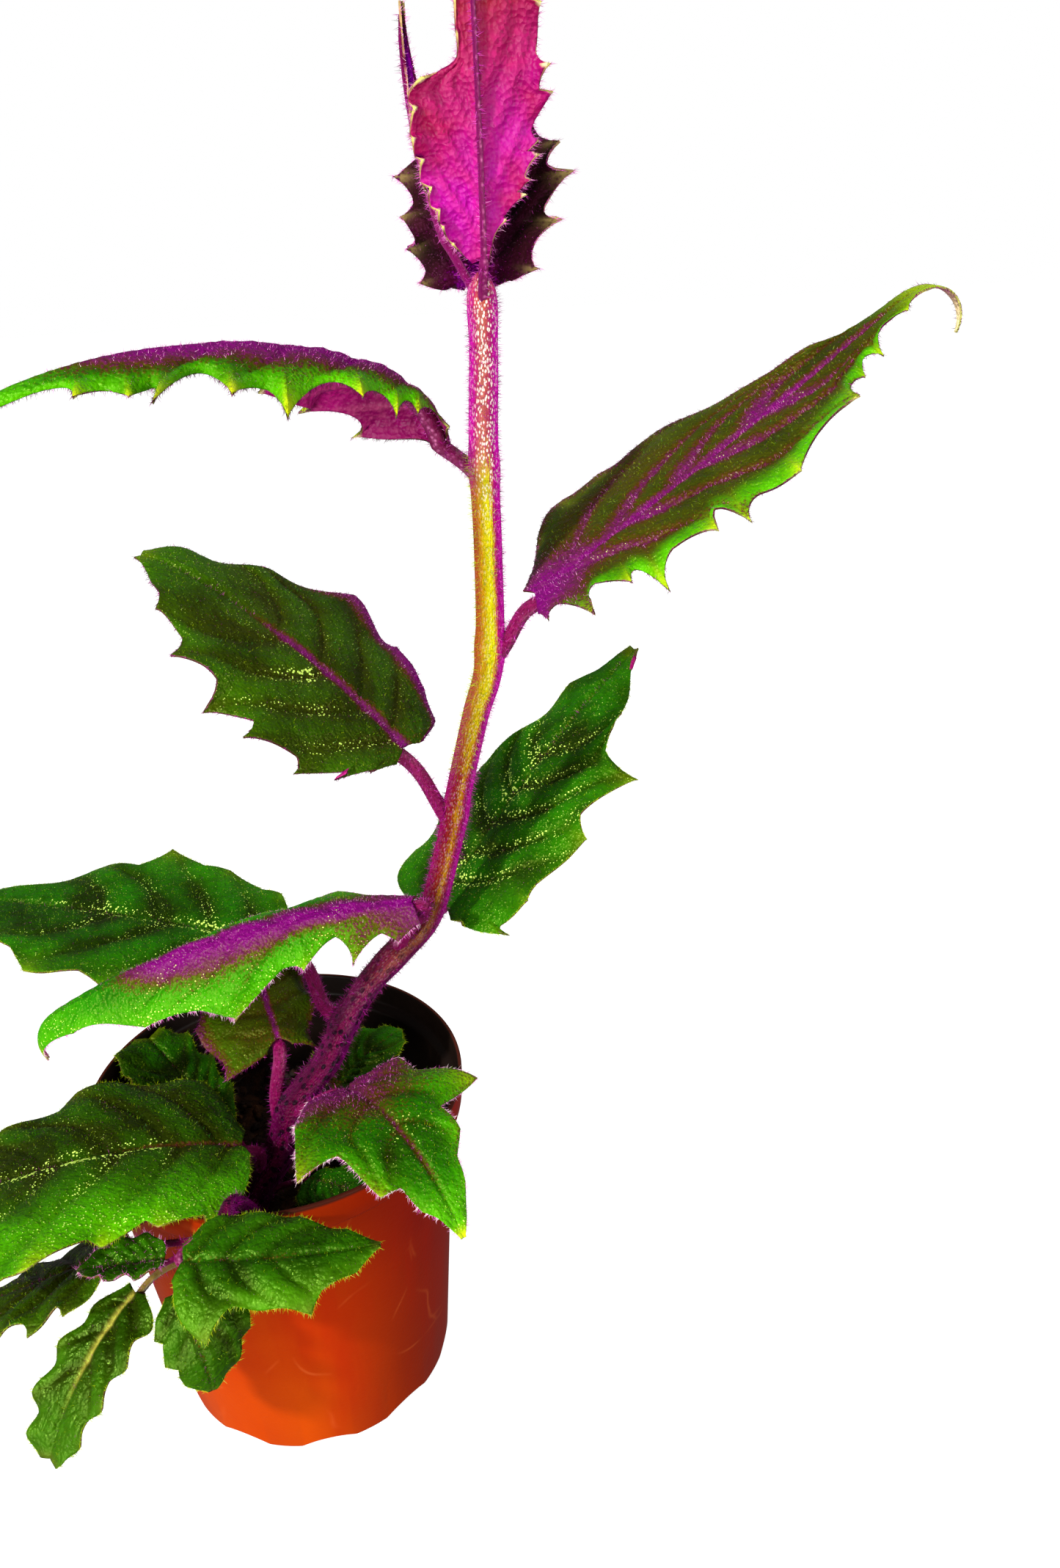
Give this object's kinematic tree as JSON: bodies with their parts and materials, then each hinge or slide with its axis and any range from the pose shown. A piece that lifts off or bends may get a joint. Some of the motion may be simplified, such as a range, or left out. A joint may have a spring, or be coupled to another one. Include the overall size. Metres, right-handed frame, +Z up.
{
  "type": "potted purple passion plant",
  "caption": "Upright foliage plant with a leaning hairy purple stem and coarsely toothed leaves, standing in a round tapered nursery pot filled with potting mix.",
  "frame": {"origin": "centre of the pot's flat underside", "axes": "+Z up, along the pot's axis; the stem leans towards +X and the front leaves hang towards -Y"},
  "size_m": [0.3033, 0.1711, 0.3957],
  "materials": {
    "pot_plastic": "satin moulded plastic with faint glossy streaks",
    "potting_mix": "rough damp peat and bark crumb",
    "stem": "ribbed and hairy, magenta to yellow green",
    "leaf_green": "soft green with purple veins and short hairs",
    "leaf_young": "velvety magenta with pale tooth tips"
  },
  "bodies": {
    "root": {"pot": "pot_plastic", "potting_soil": "potting_mix", "main_stem": "stem", "side_stem": "stem", "leaf_upper_left": "leaf_green", "leaf_upper_right": "leaf_green", "leaf_middle_left": "leaf_green", "leaf_back_right": "leaf_green", "leaf_back_left": "leaf_green", "leaf_front_left": "leaf_green", "leaf_inner_left": "leaf_green", "leaf_lower_left": "leaf_green", "leaf_front_right": "leaf_green", "leaf_inner_back": "leaf_green", "leaf_low_right": "leaf_green", "leaf_back_low": "leaf_green", "leaf_shoot_right": "leaf_green", "leaf_shoot_under": "leaf_green", "leaf_shoot_hanging": "leaf_green", "leaf_shoot_left": "leaf_green", "leaf_shoot_young": "leaf_young", "leaf_tip_front": "leaf_young", "leaf_tip_back": "leaf_young", "leaf_tip_side": "leaf_young"}
  },
  "joints": []
}
